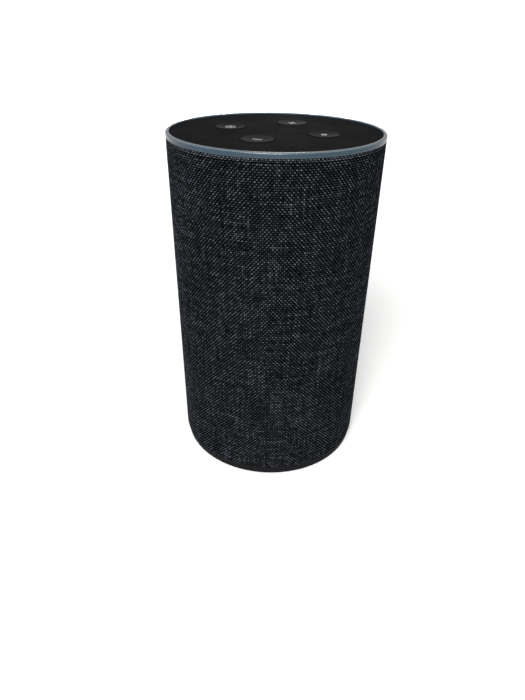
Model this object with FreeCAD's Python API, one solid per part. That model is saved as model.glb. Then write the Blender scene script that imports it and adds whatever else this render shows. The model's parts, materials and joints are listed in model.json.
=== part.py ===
"""Cylindrical smart speaker, in millimetres, +Z up, front at -Y, ports at +Y.

The origin is the centre of the rubber foot, on the surface the speaker stands on.
A fabric-covered shell is an open tube. The core, which is everything else, lifts out of it upwards:
top deck with four buttons and a light ring, microphone board, electronics bay, sealed woofer
enclosure, tweeter pod, and a base with the two sockets. Each function below makes one sub-part.
"""
import FreeCAD
import Part
import math
import os

V = FreeCAD.Vector
UP = V(0, 0, 1)
BACK = V(0, 1, 0)

# Driving dimensions
HEIGHT = 148.0
RADIUS = 44.0
FABRIC = 0.8            # thickness of the cloth on the shell tube
SHELL_WALL = 1.8
SLIDE_GAP = 0.5         # between the shell's bore and the core's wall
TUBE_R = RADIUS - FABRIC
BORE_R = TUBE_R - SHELL_WALL
CORE_R = BORE_R - SLIDE_GAP

SHELL_BOTTOM = 0.8      # the bare rim hangs just clear of the surface
FABRIC_BOTTOM = 4.0
FABRIC_TOP = 146.0
TUBE_TOP = FABRIC_TOP - 0.6
NOTCH_HALF = 15.0       # half width of the shell's cut-out behind the sockets
NOTCH_TOP = 18.0

RING_Z = FABRIC_TOP + 0.1
RING_LEDGE = 146.9      # the deck rests on this ledge inside the ring
RING_INNER = 42.55
RING_ROUND = 0.55       # rounding of the ring's outer top edge
RING_SKIRT = 39.9       # inner radius of the skirt that hangs below the ring
RING_BOTTOM = 141.6
DECK_TOP = 147.5
DECK_UNDER = 145.75
DECK_R = 39.8           # below the ledge
BUTTON_CIRCLE = 20.0
BUTTON_R = 6.4
BUTTON_ANGLES = {"volume_up": 90, "volume_down": 270, "action": 0, "mic_mute": 180}
BUTTON_TRAVEL = 0.4
STEM_R = 1.25           # the button's stem, which runs in the switch's bore
SWITCH_TOP = 142.9
MIC_CIRCLE = 32.8
MIC_BOARD_Z = 140.2
MIC_BOARD_T = 1.2
MIC_BOARD_R = 38.6
MIC_BOARD_TOP = MIC_BOARD_Z + MIC_BOARD_T
DECK_POSTS = [(31.0, a) for a in (30, 150, 270)]
BOARD_POSTS = [(26.0, a) for a in (45, 135, 225, 315)]

CHASSIS_Z = 128.2       # lower end of the upper chassis wall
CHASSIS_PLATE = 136.2
CHASSIS_PLATE_T = 1.8
CHASSIS_POSTS = [(36.3, a) for a in (15, 165, 235, 305)]

BAFFLE_Z = 52.0         # underside of the enclosure, where the woofer bolts on
BAFFLE_T = 3.0
BAY_FLOOR = 72.0        # top of the round lower part; above it the enclosure is D-shaped
FLAT_Y = 23.0           # outer face of the D's flat
ENCLOSURE_R = 40.7
ENCLOSURE_WALL = 2.0
ENCLOSURE_TOP = 126.0
LID_Z = 126.8
DUCT_X, DUCT_Y, DUCT_R = 21.0, 30.0, 2.2         # wire ducts down through the enclosure
GROMMET_X, GROMMET_Z = 14.0, 94.0

BOARD_Y = 27.0          # front face of the main board, towards the enclosure
BOARD_T = 1.4
BOARD_BACK = BOARD_Y + BOARD_T
BOARD_HALF = 26.0
BOARD_LOW, BOARD_HIGH = 75.0, 124.0
COVER_SCREWS = [(x, BAY_FLOOR + 3.5) for x in (-13, 13)]
COVER_SEAT = 36.6       # under the heads of the rear cover's screws
HEAT_SINK_Y = 32.2
HEAT_SINK_T = 1.8

WOOFER_HOLE = 29.2
WOOFER_R = 34.5
WOOFER_SCREWS = [(32.4, a) for a in range(0, 360, 90)]
WOOFER_SEAT = 51.4      # upper face of the woofer's flange
CONE_R = 25.2
COIL_R = 8.0
MAGNET_R = 20.0
PLATE_Z, MAGNET_Z, YOKE_Z = 69.5, 73.5, 86.5     # undersides of top plate, magnet and yoke
TWEETER_Z = 20.6
DOME_R = 7.6

BASE_Z, BASE_TOP = 1.4, 5.0
PILLAR_R = 37.9         # circle of the four long base screws
SCREW_SEAT = 4.0        # under the heads of the base screws
PILLAR_ANGLES = (45, 135, 225, 315)
PILLARS = [(PILLAR_R, a) for a in PILLAR_ANGLES]
PORT_Z = 11.3
POWER_X, AUDIO_X = -7.0, 7.0
POWER_BORE, POWER_PIN, AUDIO_BORE = 3.0, 1.0, 1.8
JACK_FRONT = 37.4
FOOT_IN, FOOT_OUT, FOOT_T = 31.0, 39.9, 1.95

SCREW_R, SMALL_SCREW_R = 1.2, 1.0
HOLE_GAP = 0.03         # radial room around a screw in its hole
SCREW_HOLE, SMALL_HOLE = SCREW_R + HOLE_GAP, SMALL_SCREW_R + HOLE_GAP


# Shape helpers
def at(radius, angle, z=0.0):
    a = math.radians(angle)
    return V(radius * math.cos(a), radius * math.sin(a), z)


def cylinder(r, z0, z1, x=0.0, y=0.0):
    return Part.makeCylinder(r, z1 - z0, V(x, y, z0))


def post(r, z0, z1, circle, angle):
    p = at(circle, angle)
    return cylinder(r, z0, z1, p.x, p.y)


def tube(r_out, r_in, z0, z1):
    return cylinder(r_out, z0, z1).cut(cylinder(r_in, z0 - 1, z1 + 1))


def rod_y(r, y0, y1, x, z):
    return Part.makeCylinder(r, y1 - y0, V(x, y0, z), BACK)


def box(x0, x1, y0, y1, z0, z1):
    return Part.makeBox(x1 - x0, y1 - y0, z1 - z0, V(x0, y0, z0))


def turned(*points):
    """A solid of revolution about Z from (radius, z) points."""
    outline = [V(r, 0, z) for r, z in points]
    face = Part.Face(Part.makePolygon(outline + outline[:1]))
    return face.revolve(V(0, 0, 0), UP, 360)


def turn(shape, angle, centre=V(0, 0, 0)):
    copy = shape.copy()
    copy.rotate(centre, UP, angle)
    return copy


def moved(shape, offset):
    copy = shape.copy()
    copy.translate(offset)
    return copy


def joined(*shapes):
    return shapes[0].multiFuse(list(shapes[1:])).removeSplitter()


def cut(shape, *tools):
    return shape.cut(list(tools))


def group(shapes):
    return Part.makeCompound(list(shapes))


def filleted(shape, radius, wanted):
    """Rounds the edges whose bounding box passes the test."""
    return shape.makeFillet(radius, [e for e in shape.Edges if wanted(e.BoundBox)])


def screw(head_r, head_h, length, place, way, r=SCREW_R):
    """Pan-head screw with a cross recess: place is under the head, way points along the shank."""
    head = Part.makeCylinder(head_r, head_h, V(0, 0, -head_h))
    head = head.makeFillet(head_h * 0.35, [e for e in head.Edges if e.BoundBox.ZMax < -head_h + 0.01])
    slot_half, slot_l, slot_d = head_r * 0.14, head_r * 0.62, head_h * 0.5
    for half_x, half_y in ((slot_half, slot_l), (slot_l, slot_half)):
        head = head.cut(box(-half_x, half_x, -half_y, half_y, -head_h - 1, -head_h + slot_d))
    shank = Part.makeCylinder(r, length - r)
    tip = Part.makeCone(r, r * 0.3, r, V(0, 0, length - r))
    body = joined(head, shank, tip)
    body.Placement = FreeCAD.Placement(place, FreeCAD.Rotation(UP, way))
    return body


def rounded_path(points, bend):
    """Straight runs joined by tangent arcs of one radius."""
    edges, start = [], points[0]
    for before, corner, after in zip(points, points[1:], points[2:]):
        u, w = (before - corner).normalize(), (after - corner).normalize()
        half = u.getAngle(w) / 2
        reach = bend / math.tan(half)
        a, b = corner + u * reach, corner + w * reach
        middle = (u + w).normalize()
        apex = corner + middle * (bend / math.sin(half) - bend)
        edges += [Part.LineSegment(start, a).toShape(), Part.Arc(a, apex, b).toShape()]
        start = b
    edges.append(Part.LineSegment(start, points[-1]).toShape())
    return Part.Wire(edges)


def cable(points, r, bend):
    points = [V(*p) for p in points]
    ring = Part.Wire(Part.makeCircle(r, points[0], points[1] - points[0]))
    return rounded_path(points, bend).makePipeShell([ring], True, False)


# Shell
def notch(half, top, radius):
    """Cutter for the open-bottomed cut-out behind the sockets."""
    block = box(-half, half, 30, RADIUS + 2, -1, top)
    return filleted(block, radius, lambda b: b.ZMin > top - 0.01 and b.YLength > 5)


def fabric_cover():
    sleeve_in = TUBE_R + 0.02
    hem = 0.35
    skin = turned(
        (sleeve_in, FABRIC_BOTTOM), (RADIUS - hem, FABRIC_BOTTOM), (RADIUS, FABRIC_BOTTOM + hem),
        (RADIUS, FABRIC_TOP - hem), (RADIUS - hem, FABRIC_TOP), (BORE_R + 0.6, FABRIC_TOP),
        (BORE_R + 0.6, TUBE_TOP + 0.02), (sleeve_in, TUBE_TOP + 0.02),
    )
    return skin.cut(notch(NOTCH_HALF, NOTCH_TOP, 4.0))


def shell_tube():
    """Perforated tube: two rows of sound slots around the woofer and tweeter."""
    wall = tube(TUBE_R, BORE_R, SHELL_BOTTOM, TUBE_TOP)
    columns, slot_w = 36, 3.0
    rows = ((22.0, 34.0), (37.0, 49.0))
    cutters = [notch(NOTCH_HALF, NOTCH_TOP, 4.0)]
    for low, high in rows:
        slot = box(BORE_R - 2, TUBE_R + 2, -slot_w / 2, slot_w / 2, low, high)
        cutters += [turn(slot, (i + 0.5) * 360 / columns) for i in range(columns)]
    return wall.cut(cutters)


# Top of the core
def light_ring():
    ring = turned(
        (BORE_R - 0.25, RING_Z), (RADIUS, RING_Z), (RADIUS, HEIGHT), (RING_INNER, HEIGHT),
        (RING_INNER, RING_LEDGE), (RING_SKIRT, RING_LEDGE), (RING_SKIRT, RING_BOTTOM),
        (BORE_R - 0.25, RING_BOTTOM),
    )
    return filleted(ring, RING_ROUND, lambda b: b.ZMin > HEIGHT - 0.01 and b.XMax > RADIUS - 0.01)


def top_deck():
    """Plate with button and microphone holes, and the posts that the boards screw to."""
    edge_r, edge_z = RING_INNER - 0.15, RING_LEDGE + 0.05
    deck = turned((0, DECK_UNDER), (DECK_R, DECK_UNDER), (DECK_R, edge_z), (edge_r, edge_z),
                  (edge_r, DECK_TOP), (0, DECK_TOP))
    posts = [post(2.4, CHASSIS_PLATE + CHASSIS_PLATE_T + 0.05, DECK_UNDER, *p) for p in DECK_POSTS]
    posts += [post(2.2, MIC_BOARD_TOP + 0.02, DECK_UNDER, *p) for p in BOARD_POSTS]
    deck = joined(deck, *posts)
    button_hole, bevel = BUTTON_R + 0.2, 0.35
    mic_hole, mic_bevel = 0.55, 0.3
    buttons = [(BUTTON_CIRCLE, a) for a in BUTTON_ANGLES.values()]
    mics = [(MIC_CIRCLE, a) for a in range(0, 360, 60)] + [(0, 0)]
    cutters = []
    for places, r, size in ((buttons, button_hole, bevel), (mics, mic_hole, mic_bevel)):
        cutters += [post(r, DECK_UNDER - 1, DECK_TOP + 1, *p) for p in places]
        cutters += [Part.makeCone(r, r + size, size, at(*p, DECK_TOP - size)) for p in places]
    cutters += [post(SCREW_HOLE, 130, 144.6, *p) for p in DECK_POSTS]
    cutters += [post(SMALL_HOLE, 130, 144.9, *p) for p in BOARD_POSTS]
    return cut(deck, *cutters)


def button(angle):
    """Dished cap, retaining flange below the deck, and a stem that works the switch."""
    top, under = DECK_TOP + 0.2, DECK_UNDER - 0.05
    flange_r, flange_low = 7.4, under - 0.75
    boss_r, boss_low = 1.5, SWITCH_TOP + BUTTON_TRAVEL + 0.2
    stem_low = SWITCH_TOP - 0.9
    cap = turned(
        (0, top - 0.3), (3.5, top - 0.22), (5.6, top), (BUTTON_R - 0.2, top), (BUTTON_R, top - 0.2),
        (BUTTON_R, under), (flange_r, under), (flange_r, flange_low), (boss_r, flange_low),
        (boss_r, boss_low), (STEM_R, boss_low), (STEM_R, stem_low), (0, stem_low),
    )
    return moved(cap, at(BUTTON_CIRCLE, angle))


def light_baffle():
    return tube(36.0, 35.2, MIC_BOARD_TOP + 0.02, DECK_UNDER - 0.05)


def mic_board():
    disc = cylinder(MIC_BOARD_R, MIC_BOARD_Z, MIC_BOARD_TOP)
    holes = [post(2.8, 139, 143, *p) for p in DECK_POSTS]
    holes += [post(SMALL_HOLE, 139, 143, *p) for p in BOARD_POSTS]
    return cut(disc, *holes)


def leds():
    led = box(36.5, 38.1, -1.5, 1.5, MIC_BOARD_TOP, MIC_BOARD_TOP + 1.1)
    return group(turn(led, i * 30) for i in range(12))


def microphones():
    capsule = box(MIC_CIRCLE - 1.3, MIC_CIRCLE + 1.3, -1.7, 1.7, MIC_BOARD_TOP, MIC_BOARD_TOP + 1.0)
    centre = box(-1.3, 1.3, -1.7, 1.7, MIC_BOARD_TOP, MIC_BOARD_TOP + 1.0)
    return group([turn(capsule, i * 60) for i in range(6)] + [centre])


def mic_gaskets():
    boot = tube(1.9, 0.7, MIC_BOARD_TOP + 1.0, DECK_UNDER)
    return group([moved(boot, at(MIC_CIRCLE, i * 60)) for i in range(6)] + [boot])


def switch_housings():
    """Four tactile switches; each button's stem runs in the bore."""
    half, floor = 2.6, MIC_BOARD_TOP + 0.1
    made = []
    for angle in BUTTON_ANGLES.values():
        p = at(BUTTON_CIRCLE, angle)
        body = box(p.x - half, p.x + half, p.y - half, p.y + half, MIC_BOARD_TOP, SWITCH_TOP)
        made.append(cut(body, cylinder(STEM_R + 0.1, floor, SWITCH_TOP + 1, p.x, p.y)))
    return group(made)


def mic_board_chips():
    """LED drivers and converter on top, and the ribbon cable's connector underneath."""
    top = MIC_BOARD_TOP
    return group([
        box(5, 10, 6, 11, top, top + 0.9), box(-10, -5, 6, 11, top, top + 0.9),
        box(-3, 3, -11, -5, top, top + 0.9), box(-6.5, 6.5, 31.4, 34.6, 138.8, MIC_BOARD_Z),
    ])


# Chassis, enclosure and their screws
def upper_chassis():
    plate_top = CHASSIS_PLATE + CHASSIS_PLATE_T
    wall = tube(CORE_R, CORE_R - 1.9, CHASSIS_Z, 141.5)
    plate = cylinder(CORE_R - 0.5, CHASSIS_PLATE, plate_top)
    legs = [post(2.8, CHASSIS_Z, CHASSIS_PLATE, *p) for p in CHASSIS_POSTS]
    rim = cylinder(CORE_R, CHASSIS_Z - 1, 150)
    body = joined(wall, plate, *legs).common(rim)
    cutters = [post(SCREW_HOLE, 120, 140, *p) for p in CHASSIS_POSTS + DECK_POSTS]
    cutters.append(box(-7.5, 7.5, 31.0, 35.0, 130, 140))
    return cut(body, *cutters)


def chassis_screws():
    """Four hold the chassis to the enclosure, and three hold the deck down to the chassis."""
    plate_top = CHASSIS_PLATE + CHASSIS_PLATE_T
    down = [screw(2.1, 1.4, 20.0, at(*p, plate_top), V(0, 0, -1)) for p in CHASSIS_POSTS]
    up = [screw(2.1, 1.4, 8.0, at(*p, CHASSIS_PLATE), UP) for p in DECK_POSTS]
    return group(down + up)


def d_block(r, flat, z0, z1):
    return cylinder(r, z0, z1).common(box(-50, 50, -50, flat, z0 - 1, z1 + 1))


def enclosure_body():
    inner_r, inner_flat = ENCLOSURE_R - ENCLOSURE_WALL, FLAT_Y - ENCLOSURE_WALL
    inside_low = BAFFLE_Z + BAFFLE_T
    outer = joined(cylinder(ENCLOSURE_R, BAFFLE_Z, BAY_FLOOR),
                   d_block(ENCLOSURE_R, FLAT_Y, BAY_FLOOR - 1, ENCLOSURE_TOP))
    cavity = joined(cylinder(inner_r, inside_low, BAY_FLOOR - 2),
                    d_block(inner_r, inner_flat, inside_low, ENCLOSURE_TOP + 1))
    shell = cut(outer, cavity, cylinder(WOOFER_HOLE, BAFFLE_Z - 1, inside_low + 1))
    limit = cylinder(ENCLOSURE_R, BAFFLE_Z, ENCLOSURE_TOP)
    adds = [post(2.8, 114, ENCLOSURE_TOP, *p) for p in CHASSIS_POSTS]
    adds += [post(2.8, inside_low - 1, 62, *p) for p in PILLARS]
    adds += [cylinder(DUCT_R + 1.4, inside_low - 1, BAY_FLOOR - 1, x, DUCT_Y) for x in (-DUCT_X, DUCT_X)]
    adds += [rod_y(2.6, FLAT_Y - 1, BOARD_Y - 0.02, x, z) for x, z in board_holes()]
    adds += [box(x - 3, x + 3, 30, COVER_SEAT - 1.6, BAY_FLOOR - 1, z + 3) for x, z in COVER_SCREWS]
    body = joined(shell, *adds).common(limit)
    cutters = [post(SCREW_HOLE, 117.5, 130, *p) for p in CHASSIS_POSTS]
    cutters += [post(SCREW_HOLE, 50, 60.5, *p) for p in PILLARS]
    cutters += [cylinder(DUCT_R, 50, 74, x, DUCT_Y) for x in (-DUCT_X, DUCT_X)]
    cutters += [rod_y(SMALL_HOLE, 22.4, 30, x, z) for x, z in board_holes()]
    cutters += [rod_y(SCREW_HOLE, 30.5, 42, x, z) for x, z in COVER_SCREWS]
    cutters += [post(SCREW_HOLE, 50, 54.5, *p) for p in WOOFER_SCREWS]
    cutters.append(rod_y(2.0, 20, 24, GROMMET_X, GROMMET_Z))
    return cut(body, *cutters)


def enclosure_lid():
    lid = d_block(ENCLOSURE_R, FLAT_Y, LID_Z, CHASSIS_Z - 0.1)
    return cut(lid, *[post(SCREW_HOLE, 120, 130, *p) for p in CHASSIS_POSTS])


def gaskets():
    """Foam seals of the enclosure: under its lid, behind the woofer, and the cable grommet."""
    lid_seal = cut(d_block(ENCLOSURE_R, FLAT_Y, ENCLOSURE_TOP, LID_Z),
                   d_block(ENCLOSURE_R - 4.5, FLAT_Y - 4.5, ENCLOSURE_TOP - 1, LID_Z + 1),
                   *[post(SCREW_HOLE, 120, 130, *p) for p in CHASSIS_POSTS])
    woofer_seal = cut(tube(WOOFER_R, 29.4, WOOFER_SEAT, BAFFLE_Z),
                      *[post(SCREW_HOLE, 50, 54, *p) for p in WOOFER_SCREWS])
    place = (GROMMET_X, GROMMET_Z)
    grommet = joined(rod_y(1.95, FLAT_Y - ENCLOSURE_WALL, FLAT_Y, *place),
                     rod_y(2.8, FLAT_Y, FLAT_Y + 0.8, *place))
    return group([lid_seal, woofer_seal, cut(grommet, rod_y(1.0, 20, 25, *place))])


def friction_pads():
    """Four felt strips that hold the shell on by friction."""
    strip = tube(BORE_R - 0.05, ENCLOSURE_R + 0.02, 84, 118)
    wedge = box(30, 50, -2.5, 2.5, 80, 122)
    return group(turn(strip.common(wedge), a) for a in (-20, -70, -110, -160))


def rear_cover():
    shell = tube(CORE_R, CORE_R - 1.6, BAY_FLOOR + 0.1, CHASSIS_Z - 0.1)
    shell = shell.common(box(-50, 50, FLAT_Y + 0.1, 50, 60, 140))
    pads = [box(x - 3, x + 3, COVER_SEAT - 1.5, 42, BAY_FLOOR + 0.1, z + 3) for x, z in COVER_SCREWS]
    shell = joined(shell, *pads).common(cylinder(CORE_R, 60, 140))
    vents = [box(x - 1, x + 1, 30, 45, 98, 118) for x in range(-16, 17, 4)]
    holes = [rod_y(SCREW_HOLE, 30, 45, x, z) for x, z in COVER_SCREWS]
    holes += [rod_y(2.3, COVER_SEAT, 45, x, z) for x, z in COVER_SCREWS]
    return cut(shell, *vents, *holes)


def case_screws():
    """Two hold the rear cover, and four hold the woofer."""
    rear = [screw(2.0, 1.1, 5.6, V(x, COVER_SEAT, z), V(0, -1, 0)) for x, z in COVER_SCREWS]
    woofer = [screw(2.0, 1.2, 4.0, at(*p, 50.0), UP) for p in WOOFER_SCREWS]
    return group(rear + woofer)


# Electronics
def board_holes():
    return [(x, z) for x in (-22.5, 22.5) for z in (BOARD_LOW + 5, BOARD_HIGH - 4)]


def heat_sink_holes():
    return [(x, z) for x in (-15, 15) for z in (92.5, 113.5)]


def main_board():
    board = box(-BOARD_HALF, BOARD_HALF, BOARD_Y, BOARD_BACK, BOARD_LOW, BOARD_HIGH)
    holes = [rod_y(SMALL_HOLE, 26, 30, x, z) for x, z in board_holes() + heat_sink_holes()]
    return cut(board, *holes)


def main_board_chips():
    """Processor, memory, radio module, amplifier and connectors."""
    y = BOARD_BACK
    blocks = [
        (-6.5, 6.5, 1.3, 96, 109), (-12.5, -8, 1.1, 99, 108), (8, 12.5, 1.1, 99, 108),
        (14.5, 23, 1.6, 99, 109), (-23, -16.5, 1.0, 99, 105.5), (-7, 7, 1.8, 118.5, 123),
        (-23, -17.5, 3.0, 75.4, 78), (17.5, 23, 3.0, 75.4, 78),
        (-20.0, -17.4, 1.6, 111, 114), (17.4, 20.0, 1.6, 111, 114),
    ]
    return group(box(x0, x1, y, y + t, z0, z1) for x0, x1, t, z0, z1 in blocks)


def shield_can():
    y = BOARD_BACK
    outer = box(-13.5, 13.5, y + 0.02, y + 2.8, 94.5, 111.5)
    return outer.cut(box(-13.2, 13.2, y - 1, y + 2.5, 94.8, 111.2))


def thermal_pad():
    return box(-11.5, 11.5, BOARD_BACK + 2.82, HEAT_SINK_Y - 0.02, 96, 110)


def heat_sink():
    base = box(-18.5, 18.5, HEAT_SINK_Y, HEAT_SINK_Y + HEAT_SINK_T, 89, 117)
    fins = [box(x - 0.5, x + 0.5, HEAT_SINK_Y + 1, 40, 89, 117) for x in range(-12, 13, 3)]
    legs = [rod_y(2.0, BOARD_BACK, HEAT_SINK_Y + 1, x, z) for x, z in heat_sink_holes()]
    body = joined(base, *fins, *legs).common(cylinder(38.9, 80, 130))
    return cut(body, *[rod_y(SMALL_HOLE, 26, 40, x, z) for x, z in heat_sink_holes()])


def board_screws():
    """Small screws: four on the main board, four on the heat sink, four on the microphone board."""
    front = V(0, -1, 0)
    main = [screw(1.7, 1.1, 5.5, V(x, BOARD_BACK, z), front, SMALL_SCREW_R)
            for x, z in board_holes()]
    sink_face = HEAT_SINK_Y + HEAT_SINK_T
    sink = [screw(1.7, 1.1, 6.6, V(x, sink_face, z), front, SMALL_SCREW_R)
            for x, z in heat_sink_holes()]
    mic = [screw(1.7, 1.1, 4.4, at(*p, MIC_BOARD_Z), UP, SMALL_SCREW_R) for p in BOARD_POSTS]
    return group(main + sink + mic)


def capacitors():
    """Three electrolytic cans standing off the main board."""
    can = turned((0, 0), (3.9, 0), (3.9, 1.0), (3.6, 1.4), (3.9, 1.8), (3.9, 7.4), (3.6, 7.7), (0, 7.7))
    can.rotate(V(0, 0, 0), V(1, 0, 0), -90)
    return group(moved(can, V(x, BOARD_BACK, 83.5)) for x in (-9.5, 0, 9.5))


def inductors():
    return group(filleted(box(x - 3.4, x + 3.4, BOARD_BACK, BOARD_BACK + 3.4, 83.4, 90.2), 1.2,
                          lambda b: b.YLength > 3) for x in (-18.5, 18.5))


def wifi_antennas():
    """Two antenna strips above the lid, each with its coaxial lead to the main board."""
    strips = [box(x - 0.4, x + 0.4, -10, 10, CHASSIS_Z + 0.1, 135.6) for x in (-25, 25)]
    out, near, back = 24.05, 18.7, 29.2
    leads = [cable([(side * out, 9, 130), (side * out, back, 130), (side * near, back, 120),
                    (side * near, back, 114)], 0.55, 2.0) for side in (-1, 1)]
    return group(strips + leads)


def ribbon_cable():
    """Flat cable from the main board's connector up to the microphone board."""
    y0, y1 = BOARD_BACK + 1.0, 33.0
    points = [V(0, y0, 123.0), V(0, y0, 129.0), V(0, y1, 134.0), V(0, y1, 138.8)]
    half_w, half_t = 5.0, 0.15
    corners = [V(x * half_w, y0 + y * half_t, 123.0) for x, y in ((-1, -1), (1, -1), (1, 1), (-1, 1))]
    strip = Part.makePolygon(corners + corners[:1])
    return rounded_path(points, 2.5).makePipeShell([strip], True, False)


def io_harness():
    """Power and line-level wires from the main board down the duct to the socket board."""
    end_x, end_y = -12, 24.9
    return cable([(-DUCT_X, DUCT_Y, 75.3), (-DUCT_X, DUCT_Y, 20), (end_x, end_y, 12), (end_x, end_y, 6.7)],
                 1.4, 3.0)


def woofer_lead():
    x, z = GROMMET_X, GROMMET_Z
    return cable([(x, FLAT_Y + 3.4, z), (x, 17.2, z), (x, 17.2, 65.0)], 0.9, 2.6)


def tweeter_lead():
    return cable([(DUCT_X, DUCT_Y, 75.3), (DUCT_X, DUCT_Y, 36), (12, 17, 29), (9, 13, 28.4)], 0.9, 3.5)


# Woofer, firing down
def woofer_frame():
    flange = turned((28.6, 50.92), (31.2, 50.92), (31.2, 50.0), (WOOFER_R, 50.0), (WOOFER_R, WOOFER_SEAT),
                    (28.6, WOOFER_SEAT))
    basket = turned((28.9, 51.0), (28.9, 52.4), (20.4, 66.4), (20.4, PLATE_Z), (10.0, PLATE_Z),
                    (10.0, 68.2), (18.9, 68.2), (18.9, 65.4), (17.9, 65.4), (17.9, 64.0),
                    (19.3, 64.0), (27.4, 51.0))
    body = joined(flange, basket)
    window = box(15, 40, -9, 9, 54.6, 59.6)
    holes = [turn(window, a) for a in (45, 135, 225, 315)]
    holes += [post(SCREW_HOLE, 49, 53, *p) for p in WOOFER_SCREWS]
    return cut(body, *holes)


def woofer_top_plate():
    return tube(MAGNET_R, 9.2, PLATE_Z, MAGNET_Z)


def woofer_magnet():
    return tube(MAGNET_R, 11.0, MAGNET_Z, YOKE_Z)


def woofer_yoke():
    return joined(cylinder(7.6, PLATE_Z, YOKE_Z + 1), cylinder(MAGNET_R, YOKE_Z, YOKE_Z + 5.0))


def woofer_spider():
    """Corrugated centring disc between the voice coil former and the frame."""
    inner, outer, waves, height, thick = COIL_R + 0.4, 17.8, 4, 0.5, 0.25
    steps = waves * 4
    top = []
    for i in range(steps + 1):
        r = inner + (outer - inner) * i / steps
        top.append((r, 64.5 + height * math.sin(math.pi / 2 * i)))
    return turned(*top, *[(r, z + thick) for r, z in reversed(top)])


def roll(inner, outer, z, radius, thick, lip):
    """Half-roll ring that bulges down from z, with a flat lip at its outer edge."""
    middle = (inner + outer) / 2
    arc = [math.radians(a) for a in range(0, 181, 15)]
    low = [(middle - radius * math.cos(a), z - radius * math.sin(a)) for a in arc]
    small = radius - thick
    high = [(middle - small * math.cos(a), z - small * math.sin(a)) for a in arc]
    edge = [(outer + lip, z), (outer + lip, z + thick), (outer - thick, z + thick)]
    return turned(*low, *edge, *reversed(high))


def woofer_surround():
    return roll(CONE_R + 0.05, 29.25, 50.4, 2.0, 0.5, 1.8)


def woofer_cone():
    return turned((CONE_R, 50.3), (CONE_R, 50.9), (24.6, 51.2), (COIL_R + 0.3, 61.1), (COIL_R + 0.3, 60.3),
                  (24.0, 50.7))


def voice_coil():
    """Paper former with the copper winding around it."""
    former = tube(COIL_R + 0.25, COIL_R, 59.0, 74.6)
    winding = tube(COIL_R + 0.7, COIL_R + 0.27, 68.0, 74.0)
    return group([former, winding])


def dust_cap():
    rim, rise, thick = 10.0, 3.2, 0.4
    radius = (rim * rim + rise * rise) / (2 * rise)
    ball = Part.makeSphere(radius, V(0, 0, 59.0 - rise + radius))
    hollow = Part.makeSphere(radius - thick, V(0, 0, 59.0 - rise + radius))
    cap = cut(ball, hollow).common(cylinder(rim, 50, 59.0))
    return cap


# Tweeter, firing down from a pod under the woofer
def tweeter_pod():
    """Streamlined housing whose top spreads the woofer's sound, on four arms."""
    outside = [(0, 44.0), (3.0, 43.2), (8.0, 39.0), (13.5, 32.5), (16.0, 28.0), (16.5, 25.0),
               (16.5, TWEETER_Z)]
    inside = [(15.3, TWEETER_Z), (15.3, 25.0), (14.8, 27.6), (12.4, 31.8), (7.0, 38.0), (2.4, 41.8),
              (0, 42.4)]
    shell = turned(*outside, *inside)
    arm = box(14.6, 35.4, -2.2, 2.2, 23.0, 26.5)
    arms = [cut(turn(arm, a), cylinder(14.9, 20, 30)) for a in PILLAR_ANGLES]
    lead_hole = Part.makeCylinder(1.1, 14, V(9, 13, 28.4), V(3, 4, 0.6))
    return cut(joined(shell, *arms), lead_hole)


def tweeter_frame():
    return turned((9.0, TWEETER_Z), (15.2, TWEETER_Z), (15.2, 22.2), (9.6, 22.2), (9.6, 21.4), (9.0, 21.4))


def tweeter_surround():
    return roll(DOME_R + 0.05, 8.95, TWEETER_Z + 0.2, 0.6, 0.2, 0.0)


def tweeter_dome():
    """Dome with its voice coil former."""
    rise, thick = 2.2, 0.25
    radius = (DOME_R ** 2 + rise ** 2) / (2 * rise)
    top = TWEETER_Z + 0.7
    centre = V(0, 0, top - rise + radius)
    cap = cut(Part.makeSphere(radius, centre), Part.makeSphere(radius - thick, centre))
    cap = cap.common(cylinder(DOME_R, 10, top))
    coil = tube(7.45, 7.2, top + 0.02, 25.2)
    return group([cap, coil])


def tweeter_magnet():
    return tube(11.0, 8.3, 24.0, 27.0)


def tweeter_yoke():
    """Steel circuit: front washer, back plate and pole."""
    washer = tube(11.0, 7.9, 22.22, 23.98)
    back = joined(cylinder(6.8, 22.4, 28.0), cylinder(11.0, 27.02, 28.4))
    return group([washer, back])


# Base
def base_housing():
    """Base plate with a central sound cone, four pillars and the ring that meets the enclosure."""
    plate = cylinder(CORE_R, BASE_Z, BASE_TOP)
    cone = turned((0, BASE_TOP - 0.5), (15.5, BASE_TOP - 0.5), (15.5, BASE_TOP), (10.5, 6.6),
                  (6.5, 9.4), (3.6, 12.4), (1.2, 13.8), (0, 14.0))
    ring = tube(CORE_R, 35.5, 48.0, BAFFLE_Z - 0.05)
    limit = cylinder(CORE_R, BASE_Z, BAFFLE_Z)
    pillar = box(35.6, 42, -3.4, 3.4, BASE_TOP - 1, 48.5).common(limit)
    body = joined(plate, cone, ring, *[turn(pillar, a) for a in PILLAR_ANGLES])
    cutters = [tube(FOOT_OUT + 0.02, FOOT_IN - 0.02, BASE_Z - 1, FOOT_T)]
    cutters += [post(SCREW_HOLE, 0, 53, *p) for p in PILLARS]
    cutters += [post(2.4, 0, SCREW_SEAT, *p) for p in PILLARS]
    cutters += [cylinder(DUCT_R, 40, 53, x, DUCT_Y) for x in (-DUCT_X, DUCT_X)]
    return cut(body, *cutters)


def base_screws():
    """Long screws up the pillars into the enclosure."""
    return group(screw(2.1, 1.4, 56.0, at(*p, SCREW_SEAT), UP) for p in PILLARS)


def jack_board():
    return box(-13.4, 13.4, 23.5, 36.8, BASE_TOP + 0.4, BASE_TOP + 1.6)


def power_jack():
    body = box(POWER_X - 5, POWER_X + 5, 26.8, JACK_FRONT, BASE_TOP + 1.6, 16.4)
    return body.cut(rod_y(POWER_BORE, 28.2, JACK_FRONT + 1, POWER_X, PORT_Z))


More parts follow.
